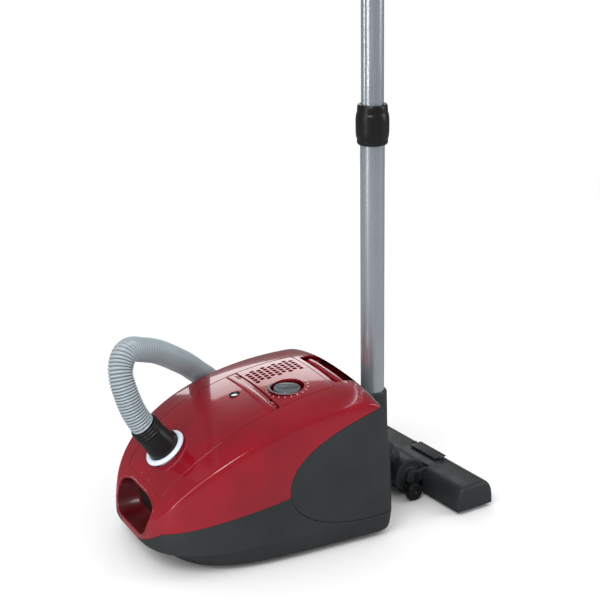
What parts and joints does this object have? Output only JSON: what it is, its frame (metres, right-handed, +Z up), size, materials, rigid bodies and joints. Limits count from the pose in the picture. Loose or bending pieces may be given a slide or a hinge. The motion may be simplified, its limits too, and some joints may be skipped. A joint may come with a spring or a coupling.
{
  "type": "canister vacuum cleaner",
  "caption": "Canister vacuum cleaner with a crowned body, dust lid, hose, telescopic wand and a floor head parked upright behind it.",
  "frame": {"origin": "centre of the footprint of the body and floor head, on the floor", "axes": "+Z up, -X towards the front of the body where the hose enters, +Y towards the side with the hose"},
  "size_m": [0.5589, 0.5999, 0.88],
  "materials": {
    "housing_red": "glossy cherry red moulding",
    "base_grey": "matte dark grey moulding",
    "black_plastic": "satin black moulding",
    "grey_plastic": "satin mid grey moulding",
    "white_plastic": "satin white moulding",
    "inner_plastic": "plain inner moulding",
    "hose_grey": "silver grey ribbed hose",
    "tube_steel": "satin plated steel tube",
    "steel": "zinc plated steel",
    "motor_metal": "cast and pressed metal",
    "paper": "filter paper bag",
    "filter_foam": "filter fleece",
    "rubber": "matte rubber",
    "board": "circuit board",
    "bristle": "nylon bristle"
  },
  "bodies": {
    "canister": {"base_shell": "base_grey", "upper_housing": "housing_red", "side_panel_near": "base_grey", "side_panel_far": "base_grey", "motor_cover": "housing_red", "rear_cover": "base_grey", "front_grip": "housing_red", "compartment_wall": "inner_plastic", "hinge_pins": "steel", "bag_holder": "grey_plastic", "dust_bag": "paper", "motor_filter": "filter_foam", "exhaust_filter": "filter_foam", "motor_case": "motor_metal", "fan_housing": "motor_metal", "motor_mounts": "rubber", "control_board": "board", "reel_axle": "steel", "cord_outlet": "rubber", "casing_screws": "steel", "parking_bracket": "black_plastic", "wheel_axles": "steel", "hose_rest": "hose_grey", "hose_grip": "black_plastic"},
    "lid": {"dust_lid": "housing_red", "lid_seal": "rubber", "indicator_window": "white_plastic", "swivel_ring": "white_plastic", "hose_front": "hose_grey"},
    "latch": {"lid_latch": "black_plastic"},
    "cuff": {"hose_cuff": "black_plastic"},
    "cuff_release": {"cuff_button": "black_plastic"},
    "switch": {"switch_plunger": "inner_plastic"},
    "dial": {"power_dial": "grey_plastic"},
    "handle": {"carry_handle": "housing_red"},
    "rewind": {"rewind_button": "grey_plastic"},
    "rotor": {"impeller": "motor_metal", "motor_shaft": "steel"},
    "reel": {"cable_reel": "inner_plastic"},
    "left_wheel": {"wheel_near": "black_plastic"},
    "right_wheel": {"wheel_far": "black_plastic"},
    "caster": {"caster_fork": "base_grey"},
    "caster_roller": {"caster_wheel": "rubber"},
    "wand": {"tube_sleeve": "base_grey", "lower_tube": "tube_steel", "tube_collar": "black_plastic", "nozzle_elbow": "base_grey"},
    "length_lock": {"collar_slider": "grey_plastic"},
    "extension": {"upper_tube": "tube_steel", "tube_socket": "black_plastic"},
    "neck": {"nozzle_neck": "base_grey"},
    "rollers": {"nozzle_rollers": "black_plastic"},
    "head": {"nozzle_head": "base_grey", "end_caps": "base_grey", "sole_plate": "tube_steel"},
    "pedal": {"nozzle_pedal": "black_plastic"},
    "brush": {"brush_strip": "bristle"}
  },
  "joints": [
    {"name": "lid_hinge", "type": "hinge", "parent": "canister", "child": "lid", "pos_m": [-0.0685, 0, 0.2142], "axis": [0, 1, 0], "range_deg": [0, 75]},
    {"name": "lid_catch", "type": "slide", "parent": "lid", "child": "latch", "axis": [1, 0, 0], "range_m": [0, 0.003], "stiffness_N_per_m": 400, "springref_m": -0.004},
    {"name": "cuff_swivel", "type": "hinge", "parent": "lid", "child": "cuff", "pos_m": [-0.212, 0, 0.15309], "axis": [-0.5878, 0, 0.809], "continuous": true},
    {"name": "cuff_release_press", "type": "slide", "parent": "cuff", "child": "cuff_release", "axis": [-0.809, 0, -0.5878], "range_m": [0, 0.0018], "stiffness_N_per_m": 400, "springref_m": -0.002},
    {"name": "switch_press", "type": "slide", "parent": "canister", "child": "switch", "axis": [0, 0, -1], "range_m": [0, 0.002], "stiffness_N_per_m": 500, "springref_m": -0.003},
    {"name": "dial_turn", "type": "hinge", "parent": "switch", "child": "dial", "pos_m": [-0.03, -0.031, 0.217], "axis": [0, 0, 1], "range_deg": [-135, 135]},
    {"name": "handle_fold", "type": "hinge", "parent": "canister", "child": "handle", "pos_m": [0.064, 0, 0.213], "axis": [0, 1, 0], "range_deg": [0, 80]},
    {"name": "rewind_press", "type": "slide", "parent": "canister", "child": "rewind", "axis": [-1, 0, 0], "range_m": [0, 0.003], "stiffness_N_per_m": 400, "springref_m": -0.003},
    {"name": "fan_spin", "type": "hinge", "parent": "canister", "child": "rotor", "pos_m": [0, 0.015, 0.092], "axis": [1, 0, 0], "continuous": true},
    {"name": "reel_spin", "type": "hinge", "parent": "canister", "child": "reel", "pos_m": [0.012, 0, 0.084], "axis": [0, 1, 0], "continuous": true},
    {"name": "left_wheel_roll", "type": "hinge", "parent": "canister", "child": "left_wheel", "pos_m": [0.042, -0.104, 0.034], "axis": [0, 1, 0], "continuous": true},
    {"name": "right_wheel_roll", "type": "hinge", "parent": "canister", "child": "right_wheel", "pos_m": [0.042, 0.104, 0.034], "axis": [0, 1, 0], "continuous": true},
    {"name": "caster_swivel", "type": "hinge", "parent": "canister", "child": "caster", "pos_m": [-0.195, 0, 0.03], "axis": [0, 0, 1], "continuous": true},
    {"name": "caster_roll", "type": "hinge", "parent": "caster", "child": "caster_roller", "pos_m": [-0.186, 0, 0.013], "axis": [0, 1, 0], "continuous": true},
    {"name": "wand_lift", "type": "slide", "parent": "canister", "child": "wand", "axis": [0, 0, 1], "range_m": [0, 0.06]},
    {"name": "wand_extend", "type": "slide", "parent": "wand", "child": "extension", "axis": [0, 0, 1], "range_m": [-0.22, 0.02]},
    {"name": "length_lock_slide", "type": "slide", "parent": "wand", "child": "length_lock", "axis": [0, 0, -1], "range_m": [0, 0.007], "stiffness_N_per_m": 300, "springref_m": -0.003},
    {"name": "neck_swivel", "type": "hinge", "parent": "wand", "child": "neck", "pos_m": [0.17675, 0.00481, 0.033], "axis": [-0.5985, -0.0629, 0.7986], "range_deg": [-45, 45]},
    {"name": "head_tilt", "type": "hinge", "parent": "neck", "child": "head", "pos_m": [0.17675, 0.00481, 0.033], "axis": [-0.1045, 0.9945, 0], "range_deg": [-25, 15]},
    {"name": "roller_spin", "type": "hinge", "parent": "neck", "child": "rollers", "pos_m": [0.17078, 0.00418, 0.014], "axis": [-0.1045, 0.9945, 0], "continuous": true},
    {"name": "brush_drop", "type": "slide", "parent": "head", "child": "brush", "axis": [0, 0, -1], "range_m": [0, 0.004]},
    {"name": "pedal_rock", "type": "hinge", "parent": "head", "child": "pedal", "pos_m": [0.23506, 0.0049, 0.0484], "axis": [-0.1045, 0.9945, 0], "range_deg": [0, 5]}
  ],
  "couplings": [
    {"joint": "pedal_rock", "follows": "brush_drop", "rad_per_m": 21.8}
  ]
}
